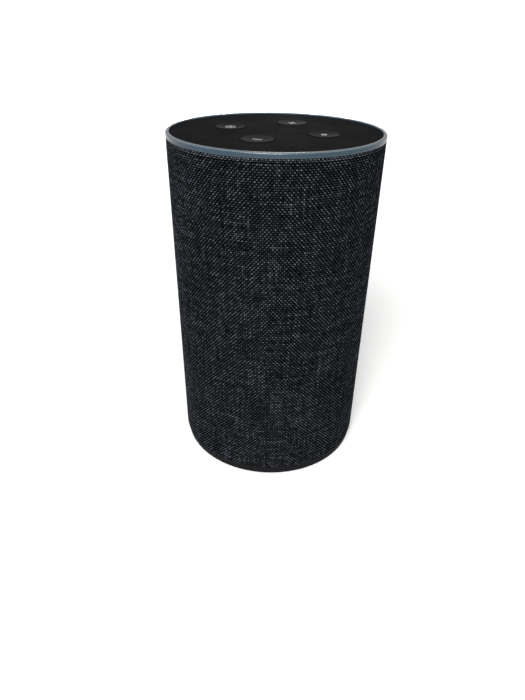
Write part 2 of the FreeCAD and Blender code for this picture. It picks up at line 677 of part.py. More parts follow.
def power_jack_pin():
    pin = rod_y(POWER_PIN, 28.2, 36.8, POWER_X, PORT_Z)
    return filleted(pin, 0.45, lambda b: b.YMin > 36.7)


def audio_jack():
    body = box(AUDIO_X - 3.6, AUDIO_X + 3.6, 24.2, JACK_FRONT, BASE_TOP + 1.6, 14.9)
    return body.cut(rod_y(AUDIO_BORE, 25.4, JACK_FRONT + 1, AUDIO_X, PORT_Z))


def port_panel():
    """Curved cover in front of the two sockets, in the shell's cut-out."""
    wall = tube(CORE_R, CORE_R - 1.5, BASE_TOP + 0.05, 17.4).common(box(-13.8, 13.8, 30, 45, 0, 20))
    return cut(wall, rod_y(3.7, 30, 45, POWER_X, PORT_Z), rod_y(2.7, 30, 45, AUDIO_X, PORT_Z))


def rubber_foot():
    """Ring in the base's groove, over the heads of the base screws."""
    return turned((FOOT_IN + 0.4, 0), (FOOT_OUT - 0.4, 0), (FOOT_OUT, 0.4), (FOOT_OUT, FOOT_T),
                  (FOOT_IN, FOOT_T), (FOOT_IN, 0.4))


PARTS = [
    fabric_cover, shell_tube,
    light_ring, top_deck, light_baffle, mic_board, leds, microphones, mic_gaskets, switch_housings,
    mic_board_chips, upper_chassis, chassis_screws, enclosure_body, enclosure_lid, gaskets, friction_pads,
    rear_cover, case_screws, main_board, main_board_chips, shield_can, thermal_pad, heat_sink, board_screws,
    capacitors, inductors, wifi_antennas, ribbon_cable, io_harness, woofer_lead, tweeter_lead,
    woofer_frame, woofer_top_plate, woofer_magnet, woofer_yoke, woofer_spider, woofer_surround,
    woofer_cone, voice_coil, dust_cap,
    tweeter_pod, tweeter_frame, tweeter_surround, tweeter_dome, tweeter_magnet, tweeter_yoke,
    base_housing, base_screws, jack_board, power_jack, power_jack_pin, audio_jack, port_panel, rubber_foot,
]


made = {make.__name__: make() for make in PARTS}
made |= {f"{name}_button": button(angle) for name, angle in BUTTON_ANGLES.items()}

os.makedirs("parts", exist_ok=True)
for name, shape in made.items():
    if not shape.isValid():
        print("not valid:", name)
    shape.exportStep(f"parts/{name}.step")
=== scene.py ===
"""Looks of the smart speaker: woven sleeve, button marks, materials, light and camera. Metres, +Z up."""
import json
import math

import bmesh
import bpy
from mathutils import Matrix, Vector


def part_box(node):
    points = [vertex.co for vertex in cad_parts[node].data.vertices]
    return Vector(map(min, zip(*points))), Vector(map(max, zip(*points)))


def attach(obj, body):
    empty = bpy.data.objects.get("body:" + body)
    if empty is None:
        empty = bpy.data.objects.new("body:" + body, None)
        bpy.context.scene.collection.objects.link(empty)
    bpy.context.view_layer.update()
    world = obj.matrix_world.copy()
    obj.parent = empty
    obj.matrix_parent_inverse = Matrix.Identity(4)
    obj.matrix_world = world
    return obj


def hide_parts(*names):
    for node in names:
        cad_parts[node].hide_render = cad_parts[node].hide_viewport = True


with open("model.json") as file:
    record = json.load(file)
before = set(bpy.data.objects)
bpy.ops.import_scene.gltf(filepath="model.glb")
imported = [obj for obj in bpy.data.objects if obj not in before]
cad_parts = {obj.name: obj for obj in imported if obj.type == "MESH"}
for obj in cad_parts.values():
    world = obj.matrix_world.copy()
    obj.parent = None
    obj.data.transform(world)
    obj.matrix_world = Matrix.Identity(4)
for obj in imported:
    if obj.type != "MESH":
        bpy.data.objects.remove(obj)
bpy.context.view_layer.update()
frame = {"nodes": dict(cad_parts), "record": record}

MM = 0.001
NODES = frame["nodes"]

# ---------------------------------------------------------------- places, read from the frame
sleeve_low, sleeve_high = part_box("fabric_cover")
SLEEVE_BOTTOM, SLEEVE_TOP = sleeve_low.z, sleeve_high.z
SLEEVE_R = round(sleeve_high.y, 4)
TUBE_R = round(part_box("shell_tube")[1].y, 4)
BUTTON_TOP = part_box("action_button")[1].z
RING_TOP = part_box("light_ring")[1].z

# The cloth: a plain weave with this many threads round the sleeve
WARPS = 362
WEFT_PITCH = 0.83 * MM
YARN_SINK = 0.30 * MM           # how far the gaps between threads lie under the threads' crowns
HEM_GROOVE = 1.35 * MM          # the hem's stitched groove, below the top of the cloth
LEAN_LINE = math.radians(-69)   # where on the sleeve the lean of the floats changes sides
NOTCH_HALF = 15.0 * MM
NOTCH_TOP = 18.0 * MM
NOTCH_ROUND = 4.0 * MM
NOTCH_SEARCH = 0.6              # the cut-out lies within this angle of the rear, in radians
HEM_ROLL = 0.55 * MM            # radius of the rolled edge at both ends
HEM_GROOVE_WIDTH, HEM_GROOVE_DEPTH = 0.22 * MM, 0.18 * MM
TUBE_GAP = 0.03 * MM            # the cut edges end this far off the tube
TOP_TUCK = 1.15 * MM            # the top edge is tucked in this far past the tube's surface

# The light ring's section: its flat inner parts, and how its three upper corners are rounded
RING_INNER, RING_LEDGE = 42.55 * MM, 146.9 * MM
RING_SKIRT_IN, RING_SKIRT_OUT = 39.9 * MM, 41.15 * MM
RING_SEAT_GAP = 0.1 * MM
RING_ROUNDING = {1: 0.10 * MM, 2: 0.55 * MM, 3: 0.12 * MM}
RING_PARTS = 256

# The button marks
MARK_THICKNESS = 0.09 * MM
MARK_SINK = 0.31 * MM           # the buttons are dished, so the marks lie below their rims


# ---------------------------------------------------------------- materials: a small node language
class Value:
    """A node socket that takes part in arithmetic."""

    def __init__(self, kit, socket):
        self.kit, self.socket = kit, socket

    def __add__(self, other):
        return self.kit.math("ADD", self, other)

    def __sub__(self, other):
        return self.kit.math("SUBTRACT", self, other)

    def __rsub__(self, other):
        return self.kit.math("SUBTRACT", other, self)

    def __mul__(self, other):
        return self.kit.math("MULTIPLY", self, other)

    def __truediv__(self, other):
        return self.kit.math("DIVIDE", self, other)

    __radd__, __rmul__ = __add__, __mul__


class Kit:
    """One material and the nodes in it."""

    def __init__(self, name, colour, roughness, metallic=0.0, specular=0.5):
        self.material = bpy.data.materials.new(name)
        self.material.use_nodes = True
        self.tree = self.material.node_tree
        self.shader = self.tree.nodes["Principled BSDF"]
        self.material.diffuse_color = (*colour, 1)
        self.set("Base Color", (*colour, 1))
        self.set("Roughness", roughness)
        self.set("Metallic", metallic)
        self.set("Specular IOR Level", specular)
        self.where = self.new("ShaderNodeTexCoord").outputs["Object"]

    def new(self, kind, **settings):
        node = self.tree.nodes.new(kind)
        for key, value in settings.items():
            setattr(node, key, value)
        return node

    def put(self, target, value):
        if isinstance(value, Value):
            self.tree.links.new(value.socket, target)
        elif isinstance(value, bpy.types.NodeSocket):
            self.tree.links.new(value, target)
        else:
            target.default_value = value

    def set(self, name, value):
        self.put(self.shader.inputs[name], value)

    def math(self, operation, *values, clamp=False):
        node = self.new("ShaderNodeMath", operation=operation, use_clamp=clamp)
        for target, value in zip(node.inputs, values):
            self.put(target, value)
        return Value(self, node.outputs[0])

    def xyz(self):
        node = self.new("ShaderNodeSeparateXYZ")
        self.put(node.inputs[0], self.where)
        return [Value(self, out) for out in node.outputs]

    def vector(self, x, y, z):
        node = self.new("ShaderNodeCombineXYZ")
        for target, value in zip(node.inputs, (x, y, z)):
            self.put(target, value)
        return node.outputs[0]

    def noise(self, scale, detail=2.0, roughness=0.5, at=None, stretch=None):
        """Noise from 0 to 1, with scale in repeats per metre. Stretch is the scale along each axis."""
        if stretch:
            mapping = self.new("ShaderNodeMapping")
            self.put(mapping.inputs["Vector"], at or self.where)
            mapping.inputs["Scale"].default_value = stretch
            at = mapping.outputs[0]
        node = self.new("ShaderNodeTexNoise")
        self.put(node.inputs["Vector"], at or self.where)
        node.inputs["Scale"].default_value = scale
        node.inputs["Detail"].default_value = detail
        node.inputs["Roughness"].default_value = roughness
        return Value(self, node.outputs[0])

    def cells(self, scale, feature="F1", randomness=1.0):
        node = self.new("ShaderNodeTexVoronoi", feature=feature)
        self.put(node.inputs["Vector"], self.where)
        node.inputs["Scale"].default_value = scale
        node.inputs["Randomness"].default_value = randomness
        return Value(self, node.outputs[0])

    def random(self, at):
        node = self.new("ShaderNodeTexWhiteNoise", noise_dimensions="3D")
        self.put(node.inputs["Vector"], at)
        return Value(self, node.outputs[0])

    def between(self, value, low, high, to_low=0.0, to_high=1.0):
        node = self.new("ShaderNodeMapRange", interpolation_type="SMOOTHSTEP")
        for target, number in zip(node.inputs, (value, low, high, to_low, to_high)):
            self.put(target, number)
        return Value(self, node.outputs[0])

    def colours(self, factor, *stops):
        """A colour ramp. Each stop is (position, (r, g, b))."""
        node = self.new("ShaderNodeValToRGB")
        ramp = node.color_ramp
        while len(ramp.elements) < len(stops):
            ramp.elements.new(0.5)
        for element, (place, colour) in zip(ramp.elements, stops):
            element.position, element.color = place, (*colour, 1)
        self.put(node.inputs[0], factor)
        return node.outputs[0]

    def mixed(self, factor, a, b):
        node = self.new("ShaderNodeMix", data_type="RGBA")
        self.put(node.inputs[0], factor)
        for target, value in ((node.inputs[6], a), (node.inputs[7], b)):
            self.put(target, value if isinstance(value, bpy.types.NodeSocket) else (*value, 1))
        return node.outputs[2]

    def bump(self, height, depth, strength=1.0):
        """Height runs from 0 to 1, and depth is its size in metres."""
        node = self.new("ShaderNodeBump")
        self.put(node.inputs["Height"], height)
        node.inputs["Distance"].default_value = depth
        node.inputs["Strength"].default_value = strength
        self.set("Normal", node.outputs[0])


def scaled(colour, factor):
    return tuple(min(1.0, c * factor) for c in colour)


def woven_cloth():
    """Heathered plain weave that follows the sleeve's own threads, with shade painted near-black in the
    gaps between threads and in the hem's groove.
    """
    k = Kit("charcoal_weave", (0.02, 0.023, 0.027), 0.8, specular=0.01)
    x, y, z = k.xyz()
    angle = k.math("ARCTAN2", y, x)
    u = angle * (WARPS / math.tau) + WARPS
    v = z / WEFT_PITCH
    column, row = k.math("FLOOR", u), k.math("FLOOR", v)
    across_u, across_v = u - column - 0.5, v - row - 0.5
    warp_on_top = k.math("MODULO", column + row, 2.0)

    lean = k.math("SINE", angle - LEAN_LINE) + k.noise(170.0, 1.0) * 0.7 - 0.35
    lean = k.between(lean, -0.15, 0.15)
    slant = (lean - 0.5) * 0.68

    def yarn(across, along, arch):
        """Height of one thread's float: round across, arched along."""
        side = k.math("MULTIPLY", across, across) * 5.2
        fall = k.math("MULTIPLY", along, along) * arch
        return k.math("SUBTRACT", 1.0 - side, fall, clamp=True)

    warp = yarn(across_u + slant * across_v, across_v, 2.8)
    weft = yarn(across_v + slant * across_u, across_u, 2.1)
    height = warp * warp_on_top + weft * (1.0 - warp_on_top)

    # the yarn is uneven: shades run along each thread, and along the diagonals of the weave
    float_shade = k.random(k.vector(column, row, 2.0))
    slub_warp = k.noise(1.0, 1.0, at=k.vector(column * 0.83, row * 0.035, 0.0))
    slub_weft = k.noise(1.0, 1.0, at=k.vector(column * 0.035, row * 0.83, 4.0))
    rising, falling = column + row, column - row
    up = k.noise(1.0, 1.0, at=k.vector(rising * 0.75, falling * 0.09, 6.0))
    down = k.noise(1.0, 1.0, at=k.vector(falling * 0.75, rising * 0.09, 9.0))
    diagonal = up * lean + down * (1.0 - lean)
    hem_band = k.between(z, SLEEVE_TOP - 1.15 * MM, SLEEVE_TOP - 1.0 * MM)
    tone = (float_shade * 0.31 + diagonal * 0.12 + slub_warp * 0.38 + slub_weft * 0.42
            + hem_band * 0.24 - 0.145)

    light = k.colours(tone, (0.22, (0.005, 0.006, 0.0075)), (0.50, (0.0335, 0.0385, 0.0465)),
                      (0.80, (0.130, 0.144, 0.166)))
    dark = k.colours(tone, (0.25, (0.0008, 0.0010, 0.0012)), (0.57, (0.0075, 0.009, 0.0105)),
                     (0.88, (0.065, 0.075, 0.086)))
    yarns = k.mixed(warp_on_top, light, dark)
    fibres = k.noise(5200.0, 2.0, 0.6)
    yarns = k.mixed(k.between(fibres, 0.3, 0.7, 0.0, 0.45), yarns, (0.0, 0.0, 0.0))
    # painted shade: the yarn's colour runs to near-black down its sides into the gaps between threads,
    # and along the hem's stitched groove
    groove = k.math("ABSOLUTE", z - (SLEEVE_TOP - HEM_GROOVE))
    depth = k.between(height, 0.30, 0.85) * k.between(groove, 0.08 * MM, 0.24 * MM, 0.1, 1.0)
    k.set("Base Color", k.mixed(depth, (0.0006, 0.0006, 0.0007), yarns))
    k.set("Roughness", k.between(fibres, 0.2, 0.8, 0.72, 0.95))
    k.bump(height + fibres * 0.12, 0.25 * MM, 0.7)
    return k.material


def moulded(name, colour, roughness=0.5, grain=2600.0, depth=0.02, specular=0.4):
    """Injection-moulded plastic with a fine spark texture and a few handling marks."""
    k = Kit(name, colour, roughness, specular=specular)
    fine, broad = k.noise(grain, 3.0, 0.6), k.noise(55.0, 3.0)
    tint = k.colours(broad, (0.3, scaled(colour, 0.92)), (0.7, scaled(colour, 1.08)))
    specks = k.between(fine, 0.35, 0.75, 0.0, 0.35)
    k.set("Base Color", k.mixed(specks, tint, scaled(colour, 1.7)))
    k.set("Roughness", k.between(broad * 0.6 + fine * 0.4, 0.3, 0.7, roughness - 0.08, roughness + 0.08))
    k.bump(fine, depth * MM, 0.6)
    return k.material


def diffuser():
    """Translucent grey ring: milky, slightly glossy, with light painted paler on its upper rounding and
    along its lower edge, and faint flow marks.
    """
    colour = (0.015, 0.031, 0.045)
    k = Kit("light_ring_diffuser", colour, 0.22, specular=0.33)
    x, y, z = k.xyz()
    turn = k.math("ARCTAN2", y, x)
    flow = k.noise(1.0, 2.0, at=k.vector(turn * 2.0, z * 300.0, 0.0))
    broad = k.noise(90.0, 2.0)
    # painted light: the upper rounding and the lower edge are painted paler than the body of the ring
    edges = k.between(z, RING_TOP - 0.55 * MM, RING_TOP - 0.1 * MM) * 0.9
    edges = edges + k.between(z, SLEEVE_TOP + 0.2 * MM, SLEEVE_TOP + 0.45 * MM, 0.25, 0.0)
    body = k.colours(flow, (0.3, scaled(colour, 0.96)), (0.7, scaled(colour, 1.04)))
    k.set("Base Color", k.mixed(edges, body, (0.075, 0.092, 0.105)))
    k.set("Roughness", k.between(broad, 0.3, 0.7, 0.2, 0.25))
    k.set("Subsurface Weight", 0.1)
    k.set("Subsurface Radius", (0.9, 1.0, 1.1))
    k.set("Subsurface Scale", 1.2 * MM)
    return k.material


def rubber(name, colour, roughness=0.75):
    k = Kit(name, colour, roughness, specular=0.3)
    fine, dust = k.noise(1800.0, 4.0, 0.65), k.noise(160.0, 5.0, 0.7)
    worn = k.between(dust, 0.5, 0.8, 0.0, 0.5)
    k.set("Base Color", k.mixed(worn, colour, scaled(colour, 2.6)))
    k.set("Roughness", k.between(dust, 0.3, 0.7, roughness - 0.1, roughness + 0.1))
    k.bump(fine, 0.04 * MM, 0.5)
    return k.material


def foam(name, colour):
    """Open cells: pores painted dark as shade in their hollows, in a lighter web."""
    k = Kit(name, colour, 0.95, specular=0.1)
    pores = k.cells(1500.0)
    # painted shade: the colour darkens towards the centre of each pore
    k.set("Base Color", k.colours(pores, (0.0, scaled(colour, 0.35)), (0.6, scaled(colour, 1.6))))
    k.bump(pores, 0.25 * MM, 0.9)
    return k.material


def felt(name, colour):
    k = Kit(name, colour, 1.0, specular=0.05)
    fibres = k.noise(2400.0, 5.0, 0.75)
    k.set("Base Color", k.colours(fibres, (0.3, scaled(colour, 0.4)), (0.75, scaled(colour, 2.4))))
    k.set("Sheen Weight", 0.3)
    k.bump(fibres, 0.2 * MM, 0.9)
    return k.material


def metal(name, colour, roughness=0.35, stretch=(1.0, 1.0, 0.06), scale=2500.0):
    """Drawn or plated metal whose fine marks run along the axis with the small stretch."""
    k = Kit(name, colour, roughness, metallic=1.0)
    marks, stain = k.noise(scale, 3.0, 0.6, stretch=stretch), k.noise(120.0, 4.0, 0.6)
    k.set("Base Color", k.colours(stain, (0.3, scaled(colour, 0.82)), (0.7, scaled(colour, 1.08))))
    k.set("Roughness", k.between(marks, 0.25, 0.75, roughness - 0.1, roughness + 0.14))
    k.bump(marks, 0.012 * MM, 0.5)
    return k.material


def circuit_board():
    """Green solder mask over copper tracks, with rows of tinned pads."""
    k = Kit("circuit_board", (0.01, 0.07, 0.035), 0.35, specular=0.5)
    weave = k.cells(420.0, "DISTANCE_TO_EDGE", 0.25)
    tracks = k.between(weave, 0.10, 0.14)
    dots = k.cells(620.0, "F1", 0.0)
    pads = k.between(dots, 0.16, 0.2, 1.0, 0.0)
    sparse = k.between(k.noise(150.0, 1.0), 0.56, 0.6)
    mask = k.mixed(tracks, (0.012, 0.105, 0.05), (0.006, 0.048, 0.026))
    k.set("Base Color", k.mixed(pads * sparse, mask, (0.62, 0.58, 0.48)))
    k.set("Metallic", pads * sparse)
    k.set("Roughness", k.between(k.noise(300.0), 0.3, 0.7, 0.3, 0.45))
    k.bump(tracks, 0.05 * MM, 0.5)
    return k.material


def chip_resin():
    k = Kit("chip_resin", (0.018, 0.018, 0.02), 0.55, specular=0.4)
    fine = k.noise(3800.0, 2.0)
    k.set("Base Color", k.colours(fine, (0.3, (0.012, 0.012, 0.013)), (0.75, (0.034, 0.034, 0.036))))
    k.bump(fine, 0.02 * MM, 0.6)
    return k.material


def led_package():
    k = Kit("led_package", (0.75, 0.74, 0.66), 0.3, specular=0.5)
    _, _, z = k.xyz()
    glow = k.noise(900.0, 1.0)
    k.set("Base Color", k.colours(glow, (0.35, (0.80, 0.79, 0.74)), (0.65, (0.78, 0.70, 0.34))))
    k.set("Roughness", k.between(z * 1000.0, 141.0, 143.0, 0.5, 0.2))
    k.bump(glow, 0.05 * MM, 0.3)
    return k.material


def wound_copper():
    """Fine enamelled wire: one ridge for every turn up the coil."""
    k = Kit("wound_copper", (0.62, 0.27, 0.12), 0.3, metallic=1.0)
    _, _, z = k.xyz()
    turns = k.math("SINE", z * (math.tau / (0.25 * MM)))
    stain = k.noise(400.0, 3.0)
    k.set("Base Color", k.colours(stain, (0.3, (0.50, 0.20, 0.09)), (0.7, (0.72, 0.34, 0.16))))
    k.bump(turns * 0.5 + 0.5, 0.06 * MM, 0.8)
    return k.material


def ferrite():
    k = Kit("ferrite", (0.045, 0.045, 0.05), 0.6, specular=0.5)
    fine, chips = k.noise(1400.0, 4.0, 0.7), k.cells(260.0)
    k.set("Base Color", k.colours(fine, (0.3, (0.03, 0.03, 0.034)), (0.75, (0.075, 0.075, 0.08))))
    k.set("Roughness", k.between(chips, 0.1, 0.6, 0.5, 0.7))
    k.bump(fine, 0.05 * MM, 0.7)
    return k.material


def pressed_fibre(name, colour):
    """Paper pulp: short matted fibres."""
    k = Kit(name, colour, 0.8, specular=0.25)
    fibres = k.noise(1300.0, 5.0, 0.75)
    k.set("Base Color", k.colours(fibres, (0.3, scaled(colour, 0.5)), (0.75, scaled(colour, 1.9))))
    k.bump(fibres, 0.12 * MM, 0.8)
    return k.material


def coarse_cloth(name, colour, pitch, roughness=0.7):
    """Open square weave in the X and Y directions, for the spider and the dome, with shade painted in
    the gaps between threads and light painted on their crowns.
    """
    k = Kit(name, colour, roughness, specular=0.3)
    x, y, _ = k.xyz()
    threads = k.math("ABSOLUTE", k.math("SINE", x * (math.pi / pitch)))
    cross = k.math("ABSOLUTE", k.math("SINE", y * (math.pi / pitch)))
    height = k.math("MAXIMUM", threads, cross)
    # painted shade and light: the colour follows thread height, darker in the gaps between threads and
    # paler on the crowns
    k.set("Base Color", k.colours(height, (0.55, scaled(colour, 0.35)), (0.95, scaled(colour, 1.25))))
    k.bump(height, 0.12 * MM, 0.8)
    return k.material


def insulation(name, colour):
    k = Kit(name, colour, 0.42, specular=0.45)
    fine, broad = k.noise(900.0, 3.0), k.noise(90.0, 2.0)
    k.set("Base Color", k.colours(broad, (0.3, scaled(colour, 0.8)), (0.7, scaled(colour, 1.35))))
    k.set("Roughness", k.between(fine, 0.3, 0.7, 0.36, 0.52))
    k.bump(fine, 0.03 * MM, 0.4)
    return k.material


def flat_cable():
    """Polyester film over parallel conductors half a millimetre apart."""
    k = Kit("flat_cable", (0.7, 0.66, 0.55), 0.35)
    x, _, _ = k.xyz()
    lines = k.math("ABSOLUTE", k.math("SINE", x * (math.pi / (0.5 * MM))))
    k.set("Base Color", k.colours(lines, (0.35, (0.72, 0.68, 0.56)), (0.6, (0.40, 0.36, 0.30))))
    k.bump(lines, 0.03 * MM, 0.4)
    return k.material


def thermal_gum():
    k = Kit("thermal_gum", (0.35, 0.42, 0.48), 0.8, specular=0.3)
    fine = k.noise(1100.0, 4.0, 0.7)
    k.set("Base Color", k.colours(fine, (0.3, (0.28, 0.34, 0.40)), (0.7, (0.40, 0.47, 0.53))))
    k.bump(fine, 0.08 * MM, 0.5)
    return k.material


def printed_mark():
    """Pale grey ink."""
    k = Kit("printed_mark", (0.30, 0.31, 0.32), 0.6, specular=0.3)
    grain = k.noise(2600.0, 3.0)
    k.set("Base Color", k.colours(grain, (0.3, (0.25, 0.26, 0.27)), (0.7, (0.36, 0.37, 0.38))))
    k.bump(grain, 0.01 * MM, 0.4)
    return k.material


FINISHES = {
    "shell_plastic": moulded("shell_plastic", (0.004, 0.004, 0.0045), 0.55, specular=0.04),
    "ring_plastic": diffuser(),
    "deck_plastic": moulded("deck_plastic", (0.0045, 0.0045, 0.005), 0.5, 3200.0, specular=0.002),
    "button_plastic": moulded("button_plastic", (0.005, 0.005, 0.0055), 0.4, 3600.0, 0.012,
                              specular=0.006),
    "black_plastic": moulded("black_plastic", (0.016, 0.016, 0.017), 0.48, 1900.0, 0.03),
    "grey_plastic": moulded("grey_plastic", (0.085, 0.09, 0.095), 0.5, 1700.0, 0.03),
    "foot_rubber": rubber("foot_rubber", (0.012, 0.012, 0.012)),
    "foam": foam("foam", (0.03, 0.03, 0.032)),
    "felt": felt("felt", (0.02, 0.02, 0.021)),
    "circuit_board": circuit_board(),
    "chip_resin": chip_resin(),
    "led_package": led_package(),
    "steel": metal("plated_steel", (0.50, 0.51, 0.52), 0.32),
    "dark_screw": metal("black_zinc", (0.05, 0.05, 0.055), 0.38),
    "tin_plate": metal("tin_plate", (0.62, 0.62, 0.60), 0.25, (1.0, 0.08, 1.0)),
    "heat_aluminium": metal("extruded_aluminium", (0.42, 0.43, 0.44), 0.42, (1.0, 1.0, 0.03), 1800.0),
    "can_aluminium": metal("drawn_aluminium", (0.60, 0.61, 0.62), 0.3, (1.0, 0.05, 1.0)),
    "thermal_gum": thermal_gum(),
    "copper": wound_copper(),
    "ferrite": ferrite(),
    "paper_pulp": pressed_fibre("paper_pulp", (0.022, 0.022, 0.023)),
    "treated_cloth": coarse_cloth("treated_cloth", (0.42, 0.25, 0.09), 0.7 * MM),
    "silk": coarse_cloth("coated_silk", (0.035, 0.035, 0.04), 0.35 * MM, 0.45),
    "wire_black": insulation("wire_black", (0.013, 0.013, 0.014)),
    "flat_cable": flat_cable(),
}
for subpart in frame["record"]["subparts"]:
    finish = FINISHES.get(subpart["material_slot"])
    if finish:
        mesh = NODES[subpart["node"]].data
        mesh.materials.clear()
        mesh.materials.append(finish)


# ---------------------------------------------------------------- the woven sleeve
def notch_depth(arc, z):
    """How far a point lies inside the rear cut-out, measured along the cloth. Negative outside it."""
    half, top, r = NOTCH_HALF, NOTCH_TOP, NOTCH_ROUND
    side, over = abs(arc) - (half - r), z - (top - r)
    if side > 0 and over > 0:
        return r - math.hypot(side, over)
    return r - max(side, over)


def notch_edge(arc, z):
    """The nearest point on the cut-out's edge."""
    half, top, r = NOTCH_HALF, NOTCH_TOP, NOTCH_ROUND
    side, over = abs(arc) - (half - r), z - (top - r)
    sign = math.copysign(1.0, arc)
    if side > 0 and over > 0:
        reach = r / math.hypot(side, over)
        return sign * (half - r + side * reach), top - r + over * reach
    if side > over:
        return sign * half, z
    return arc, top


def hem(z):
    """How far the cloth's surface stands in from its full radius, near the two ends of the sleeve."""
    below_top, above_bottom = SLEEVE_TOP - z, z - SLEEVE_BOTTOM
    roll = HEM_ROLL
    inset = 0.0
    for distance in (below_top, above_bottom):
        if distance < roll:
            inset += roll - math.sqrt(max(roll * roll - (roll - distance) ** 2, 0.0))
    groove = math.exp(-(((below_top - HEM_GROOVE) / HEM_GROOVE_WIDTH) ** 2)) * HEM_GROOVE_DEPTH
    return inset + groove


def sleeve(low, high, name, close_top=False, close_bottom=False):
    """One band of the sleeve. Each crossing of threads is a crown, with a gap at each of its corners."""
    mesh = bmesh.new()
    first_row = math.ceil(low / WEFT_PITCH)
    last_row = math.floor(high / WEFT_PITCH)
    heights = [row * WEFT_PITCH for row in range(first_row, last_row + 1)]
    heights[0], heights[-1] = low, high
    step = math.tau / WARPS
    rear = math.pi / 2

    def place(angle, z, sink):
        turn = math.remainder(angle - rear, math.tau)
        near = abs(turn) < NOTCH_SEARCH
        arc = SLEEVE_R * math.sin(turn) if near else SLEEVE_R * turn
        inside = notch_depth(arc, z) if near else -1.0
        return angle, z, SLEEVE_R - sink - hem(z), arc, inside

    def vertex(angle, z, radius):
        return mesh.verts.new((radius * math.cos(angle), radius * math.sin(angle), z))

    grid = {}
    for i, z in enumerate(heights):
        for j in range(WARPS):
            grid["corner", i, j] = place(j * step, z, YARN_SINK)
            if i + 1 < len(heights):
                grid["crown", i, j] = place((j + 0.5) * step, (z + heights[i + 1]) / 2, 0.0)
    made = {}

    def get(key):
        if key not in made:
            angle, z, radius, arc, inside = grid[key]
            if inside > 0:
                arc, z = notch_edge(arc, z)
                angle = rear + math.asin(arc / SLEEVE_R)
                radius -= YARN_SINK * 0.5
            made[key] = vertex(angle, z, radius)
        return made[key]

    for i in range(len(heights) - 1):
        for j in range(WARPS):
            after = (j + 1) % WARPS
            crown = ("crown", i, j)
            ring = [("corner", i, j), ("corner", i, after),
                    ("corner", i + 1, after), ("corner", i + 1, j)]
            for a, b in zip(ring, ring[1:] + ring[:1]):
                keys = (a, b, crown)
                if all(grid[key][4] > 0 for key in keys):
                    continue
                mesh.faces.new([get(key) for key in keys])
    bmesh.ops.remove_doubles(mesh, verts=mesh.verts, dist=1e-6)
    bmesh.ops.dissolve_degenerate(mesh, edges=mesh.edges, dist=1e-7)

    # turn the cut edges in, towards the tube
    def turned_in(edge):
        z = sum(v.co.z for v in edge.verts) / 2
        if z > high - 0.2 * MM:
            return close_top
        if z < low + 0.2 * MM:
            return close_bottom
        return True

    rim = [e for e in mesh.edges if e.is_boundary and turned_in(e)]
    out = bmesh.ops.extrude_edge_only(mesh, edges=rim)
    for v in (g for g in out["geom"] if isinstance(g, bmesh.types.BMVert)):
        flat = Vector((v.co.x, v.co.y, 0))
        radius = TUBE_R + TUBE_GAP if v.co.z < SLEEVE_TOP - 0.3 * MM else TUBE_R - TOP_TUCK
        flat = flat.normalized() * radius
        v.co = (flat.x, flat.y, v.co.z)
    bmesh.ops.recalc_face_normals(mesh, faces=mesh.faces)
    data = bpy.data.meshes.new(name)
    mesh.to_mesh(data)
    mesh.free()
    data.polygons.foreach_set("use_smooth", [True] * len(data.polygons))
    data.materials.append(CLOTH)
    piece = bpy.data.objects.new(name, data)
    bpy.context.scene.collection.objects.link(piece)
    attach(piece, "shell")
    return piece


# ---------------------------------------------------------------- the light ring
def rounded_corner(before, corner, after, radius, parts=10):
    """Points of the arc that rounds one square corner of an outline."""
    u, w = (before - corner).normalized(), (after - corner).normalized()
    centre = corner + (u + w) * radius
    turns = [math.pi / 2 * i / parts for i in range(parts + 1)]
    return [centre - w * radius * math.cos(t) - u * radius * math.sin(t) for t in turns]


def smooth_ring():
    """The diffuser turned in fine steps, with a soft outer edge and a crisp inner one."""
    low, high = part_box("light_ring")
    outer, top = high.y, high.z
    seat = SLEEVE_TOP + RING_SEAT_GAP
    corners = [Vector(p) for p in ((RING_SKIRT_OUT, seat), (outer, seat), (outer, top),
                                   (RING_INNER, top), (RING_INNER, RING_LEDGE),
                                   (RING_SKIRT_IN, RING_LEDGE), (RING_SKIRT_IN, low.z),
                                   (RING_SKIRT_OUT, low.z))]
    outline = []
    for i, corner in enumerate(corners):
        if i in RING_ROUNDING:
            outline += rounded_corner(corners[i - 1], corner, corners[i + 1], RING_ROUNDING[i])
        else:
            outline.append(corner)
    mesh = bmesh.new()
    rings = []
    for j in range(RING_PARTS):
        turn = math.tau * j / RING_PARTS
        rings.append([mesh.verts.new((p.x * math.cos(turn), p.x * math.sin(turn), p.y))
                      for p in outline])
    for a, b in zip(rings, rings[1:] + rings[:1]):
        for i in range(len(outline)):
            after = (i + 1) % len(outline)
            mesh.faces.new((a[i], b[i], b[after], a[after]))
    bmesh.ops.recalc_face_normals(mesh, faces=mesh.faces)
    for edge in mesh.edges:
        edge.smooth = edge.calc_face_angle() < math.radians(40)
    for face in mesh.faces:
        face.smooth = True
    data = bpy.data.meshes.new("diffuser_ring")
    mesh.to_mesh(data)
    mesh.free()
    data.materials.append(FINISHES["ring_plastic"])
    piece = bpy.data.objects.new("diffuser_ring", data)
    bpy.context.scene.collection.objects.link(piece)
    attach(piece, "core")
    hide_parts("light_ring")


smooth_ring()
CLOTH = woven_cloth()
middle = round((SLEEVE_BOTTOM + SLEEVE_TOP) / 2 / WEFT_PITCH) * WEFT_PITCH
lower = sleeve(SLEEVE_BOTTOM, middle, "sleeve_lower", close_bottom=True)
upper = sleeve(middle, SLEEVE_TOP, "sleeve_upper", close_top=True)
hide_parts("fabric_cover")
for band, bottom, top in ((lower, SLEEVE_BOTTOM, middle), (upper, middle, SLEEVE_TOP)):
    top - bottom


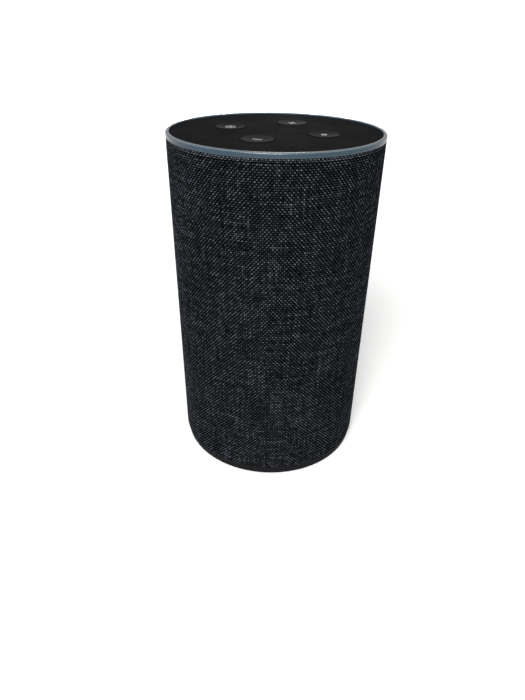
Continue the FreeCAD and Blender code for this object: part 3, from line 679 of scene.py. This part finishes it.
# ---------------------------------------------------------------- marks on the buttons
def bar(mesh, length, width, angle=0.0, centre=(0.0, 0.0)):
    """A flat bar with round ends, drawn as one outline."""
    points = []
    for end in (1, -1):
        for step in range(9):
            a = math.radians(-90 + step * 22.5)
            x, y = length / 2 - width / 2 + math.cos(a) * width / 2, math.sin(a) * width / 2
            points.append(Vector((x * end, y * end)))
    turn = Matrix.Rotation(angle, 2)
    points = [turn @ p + Vector(centre) for p in points]
    mesh.faces.new([mesh.verts.new((p.x, p.y, 0)) for p in points])


def ring_mark(mesh, radius, width, parts=40):
    """A flat ring."""
    rows = []
    for i in range(parts):
        a = math.tau * i / parts
        rows.append([mesh.verts.new((r * math.cos(a), r * math.sin(a), 0))
                     for r in (radius - width / 2, radius + width / 2)])
    for a, b in zip(rows, rows[1:] + rows[:1]):
        mesh.faces.new((a[0], a[1], b[1], b[0]))


def plus_mark(mesh):
    bar(mesh, 4.0 * MM, 0.55 * MM)
    for side in (1, -1):
        bar(mesh, 1.6 * MM, 0.55 * MM, math.pi / 2, (0, side * 1.2 * MM))


def minus_mark(mesh):
    bar(mesh, 4.0 * MM, 0.55 * MM)


def action_mark(mesh):
    ring_mark(mesh, 0.95 * MM, 0.5 * MM)


def mute_mark(mesh):
    ring_mark(mesh, 1.9 * MM, 0.45 * MM)
    bar(mesh, 3.3 * MM, 0.45 * MM, math.radians(-45))


def mark(name, node, draw):
    """One mark, drawn flat and thickened, on the dished top of a button."""
    low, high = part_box(node)
    mesh = bmesh.new()
    draw(mesh)
    out = bmesh.ops.extrude_face_region(mesh, geom=list(mesh.faces))
    for v in (g for g in out["geom"] if isinstance(g, bmesh.types.BMVert)):
        v.co.z += MARK_THICKNESS
    bmesh.ops.recalc_face_normals(mesh, faces=mesh.faces)
    centre = (low + high) / 2
    bmesh.ops.translate(mesh, verts=mesh.verts, vec=(centre.x, centre.y, BUTTON_TOP - MARK_SINK))
    data = bpy.data.meshes.new(name)
    mesh.to_mesh(data)
    mesh.free()
    data.materials.append(INK)
    piece = bpy.data.objects.new(name, data)
    bpy.context.scene.collection.objects.link(piece)
    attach(piece, node)


INK = printed_mark()
mark("plus_mark", "volume_up_button", plus_mark)
mark("minus_mark", "volume_down_button", minus_mark)
mark("action_mark", "action_button", action_mark)
mark("mute_mark", "mic_mute_button", mute_mark)


# ---------------------------------------------------------------- floor, light and camera
def pale_floor():
    """Wide pale floor, out to the horizon."""
    k = Kit("pale_floor", (0.63, 0.63, 0.63), 0.7, specular=0.2)
    grain = k.noise(14.0, 4.0)
    k.set("Base Color", k.colours(grain, (0.3, (0.625, 0.625, 0.625)), (0.7, (0.635, 0.635, 0.635))))
    half = 60.0
    data = bpy.data.meshes.new("floor")
    data.from_pydata([(-half, -half, 0), (half, -half, 0), (half, half, 0), (-half, half, 0)], [],
                     [(0, 1, 2, 3)])
    data.materials.append(k.material)
    piece = bpy.data.objects.new("floor", data)
    bpy.context.scene.collection.objects.link(piece)


def aimed(lamp, azimuth, elevation, distance, aim=0.08):
    """Azimuth 0 is at the camera, and it grows to the camera's right."""
    a, e = math.radians(azimuth + VIEW_TURN), math.radians(elevation)
    away = Vector((math.sin(a) * math.cos(e), -math.cos(a) * math.cos(e), math.sin(e)))
    lamp.location = Vector((0, 0, aim)) + away * distance
    lamp.rotation_euler = (-away).to_track_quat("-Z", "Y").to_euler()
    bpy.context.scene.collection.objects.link(lamp)


def sun(name, azimuth, elevation, strength, spread, colour):
    """Even light over the whole floor, softened by its spread in degrees."""
    light = bpy.data.lights.new(name, "SUN")
    light.energy, light.angle, light.color = strength, math.radians(spread), colour
    aimed(bpy.data.objects.new(name, light), azimuth, elevation, 2.0)


def softbox(name, azimuth, elevation, distance, size, watts, spread=180):
    """Rectangular area light that faces the speaker and isn't seen itself. Its spread is in degrees."""
    light = bpy.data.lights.new(name, "AREA")
    light.shape, light.size, light.size_y = "RECTANGLE", size[0], size[1]
    light.energy, light.spread = watts, math.radians(spread)
    lamp = bpy.data.objects.new(name, light)
    lamp.visible_camera = False
    aimed(lamp, azimuth, elevation, distance)


def sky(horizon, zenith):
    """White at the horizon, and darker overhead so that black surfaces stay black."""
    world = bpy.data.worlds.new("studio")
    world.use_nodes = True
    tree = world.node_tree
    split, ramp = tree.nodes.new("ShaderNodeSeparateXYZ"), tree.nodes.new("ShaderNodeValToRGB")
    tree.links.new(tree.nodes.new("ShaderNodeTexCoord").outputs["Generated"], split.inputs[0])
    tree.links.new(split.outputs["Z"], ramp.inputs[0])
    tree.links.new(ramp.outputs[0], tree.nodes["Background"].inputs["Color"])
    for element, place, level in zip(ramp.color_ramp.elements, (0.045, 0.20), (horizon, zenith)):
        element.position, element.color = place, (level, level, level, 1)
    bpy.context.scene.world = world


# The camera stands in front and to the right of the speaker's face and looks down on it
VIEW_TURN = 21.0
CAMERA_OFF, CAMERA_BACK, CAMERA_UP = -4.07 * MM, 225.52 * MM, 185.89 * MM
CAMERA_PITCH, CAMERA_ROLL = 32.334, 0.873
LENS = 27.056


def camera():
    turn, pitch, roll = (math.radians(a) for a in (VIEW_TURN, CAMERA_PITCH, CAMERA_ROLL))
    around = Matrix.Rotation(turn, 3, "Z")
    forward = around @ Vector((0, math.cos(pitch), -math.sin(pitch)))
    right = around @ Vector((1, 0, 0))
    up = right.cross(forward)
    x = right * math.cos(roll) + up * math.sin(roll)
    y = up * math.cos(roll) - right * math.sin(roll)
    data = bpy.data.cameras.new("camera")
    data.sensor_width, data.lens = 36.0, LENS
    data.clip_start = 0.01
    eye = bpy.data.objects.new("camera", data)
    place = around @ Vector((CAMERA_OFF, -CAMERA_BACK, CAMERA_UP))
    eye.matrix_world = Matrix.Translation(place) @ Matrix((x, y, -forward)).transposed().to_4x4()
    bpy.context.scene.collection.objects.link(eye)
    bpy.context.scene.camera = eye


camera()
pale_floor()
sky(1.1, 0.34)
sun("key", -12, 38, 7.3, 38, (1.0, 0.995, 0.985))
softbox("back", 178, 20, 1.4, (0.14, 0.10), 0.3)
softbox("rear_strip", 180, 0, 1.4, (0.8, 0.13), 1.2, 30)
bpy.context.scene.view_settings.view_transform = "Standard"
